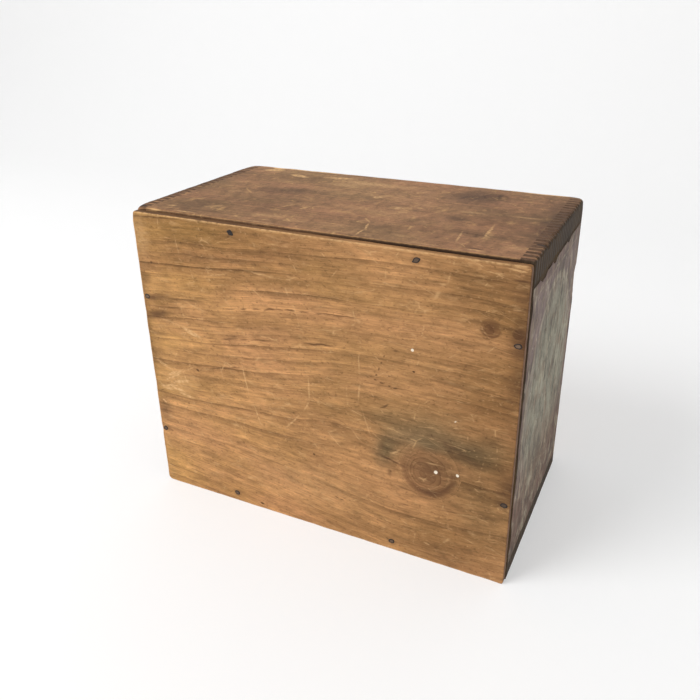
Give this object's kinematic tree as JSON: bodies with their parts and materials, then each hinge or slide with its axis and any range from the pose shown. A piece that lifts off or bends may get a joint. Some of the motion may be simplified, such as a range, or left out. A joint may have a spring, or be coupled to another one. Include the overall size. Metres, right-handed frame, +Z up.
{
  "type": "wooden box with hinged lid",
  "caption": "Rectangular pine box with finger-jointed corners, a thin nailed bottom board, a worn paper label on one end and a wide hinged lid.",
  "frame": {"origin": "centre of the face that the box stands on, which is the outer face of the lower side board", "axes": "+X along the box from the hinge end to the label end, +Y from the nailed bottom board to the hinged lid, +Z up as the box stands in the picture"},
  "size_m": [0.3112, 0.1769, 0.248],
  "materials": {
    "bottom_pine": "planed pine, bare and aged to honey brown",
    "side_pine": "planed pine, dark with handling and scuffed",
    "end_pine": "planed pine, dark brown",
    "label_paper": "printed paper, faded and rubbed",
    "lid_pine": "planed pine, bare and aged",
    "batten_pine": "sawn pine, bare",
    "nail_iron": "cut iron, black with rust",
    "hinge_steel": "rolled steel, browned",
    "screw_steel": "turned steel, browned"
  },
  "bodies": {
    "box": {"bottom_board": "bottom_pine", "upper_side_board": "side_pine", "lower_side_board": "side_pine", "hinge_end_board": "end_pine", "label_end_board": "end_pine", "paper_label": "label_paper", "bottom_nails": "nail_iron", "upper_hinge_box_leaf": "hinge_steel", "upper_hinge_pin": "hinge_steel", "upper_hinge_box_screws": "screw_steel", "lower_hinge_box_leaf": "hinge_steel", "lower_hinge_pin": "hinge_steel", "lower_hinge_box_screws": "screw_steel"},
    "lid": {"lid_board": "lid_pine", "hinge_batten": "batten_pine", "front_batten": "batten_pine", "batten_nails": "nail_iron", "upper_hinge_lid_leaf": "hinge_steel", "upper_hinge_lid_screws": "screw_steel", "lower_hinge_lid_leaf": "hinge_steel", "lower_hinge_lid_screws": "screw_steel"}
  },
  "joints": [
    {"name": "lid_hinge", "type": "hinge", "parent": "box", "child": "lid", "pos_m": [-0.15565, 0.08165, 0.124], "axis": [0, 0, 1], "range_deg": [0, 210]}
  ]
}
